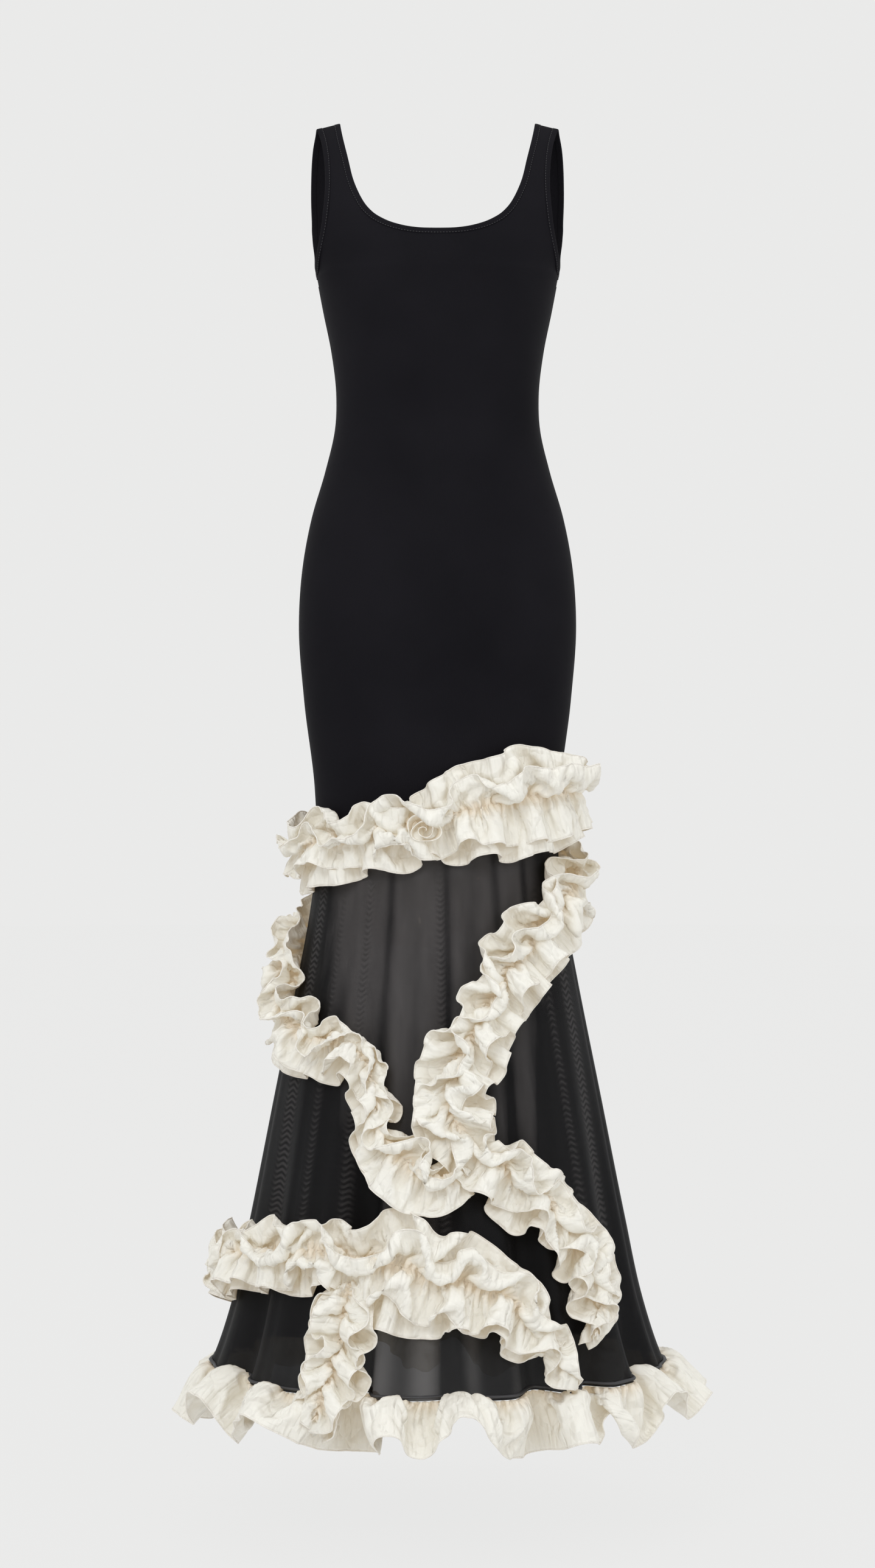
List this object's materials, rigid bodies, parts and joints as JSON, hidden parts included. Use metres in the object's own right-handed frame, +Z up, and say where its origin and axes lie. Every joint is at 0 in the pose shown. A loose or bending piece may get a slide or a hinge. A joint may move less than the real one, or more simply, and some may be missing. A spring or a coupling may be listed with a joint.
{
  "type": "mermaid dress, filled out as worn",
  "caption": "Long fitted sleeveless dress of black jersey with a flared sheer mesh skirt, wound round with cream gathered ruffles and edged by a ruffled hem.",
  "frame": {"origin": "midway between the tops of the two shoulder seams, where the wearer's shoulders hold the dress", "axes": "+Z up along the body, the front faces -Y, +X is the right of the picture"},
  "size_m": [0.6109, 0.5317, 1.4957],
  "materials": {
    "black_jersey": "smooth matt stretch jersey with a faint sheen",
    "black_mesh": "soft sheer power mesh, half see-through",
    "cream_cotton": "crisp cotton sateen, softly creased, with narrow rolled edges"
  },
  "bodies": {
    "root": {"front_panel": "black_jersey", "back_panel": "black_jersey", "neck_binding": "black_jersey", "armhole_binding_left": "black_jersey", "armhole_binding_right": "black_jersey", "skirt_front": "black_mesh", "skirt_back": "black_mesh", "seam_ruffle_front_under": "cream_cotton", "seam_ruffle_back_under": "cream_cotton", "seam_ruffle_front_over": "cream_cotton", "seam_ruffle_back_over": "cream_cotton", "right_ruffle_under": "cream_cotton", "right_ruffle_over": "cream_cotton", "left_ruffle_under": "cream_cotton", "left_ruffle_over": "cream_cotton", "lower_ruffle_under": "cream_cotton", "lower_ruffle_over": "cream_cotton", "hem_ruffle_end_under": "cream_cotton", "hem_ruffle_end_over": "cream_cotton", "hem_ruffle_front": "cream_cotton", "hem_ruffle_back": "cream_cotton"}
  },
  "joints": []
}
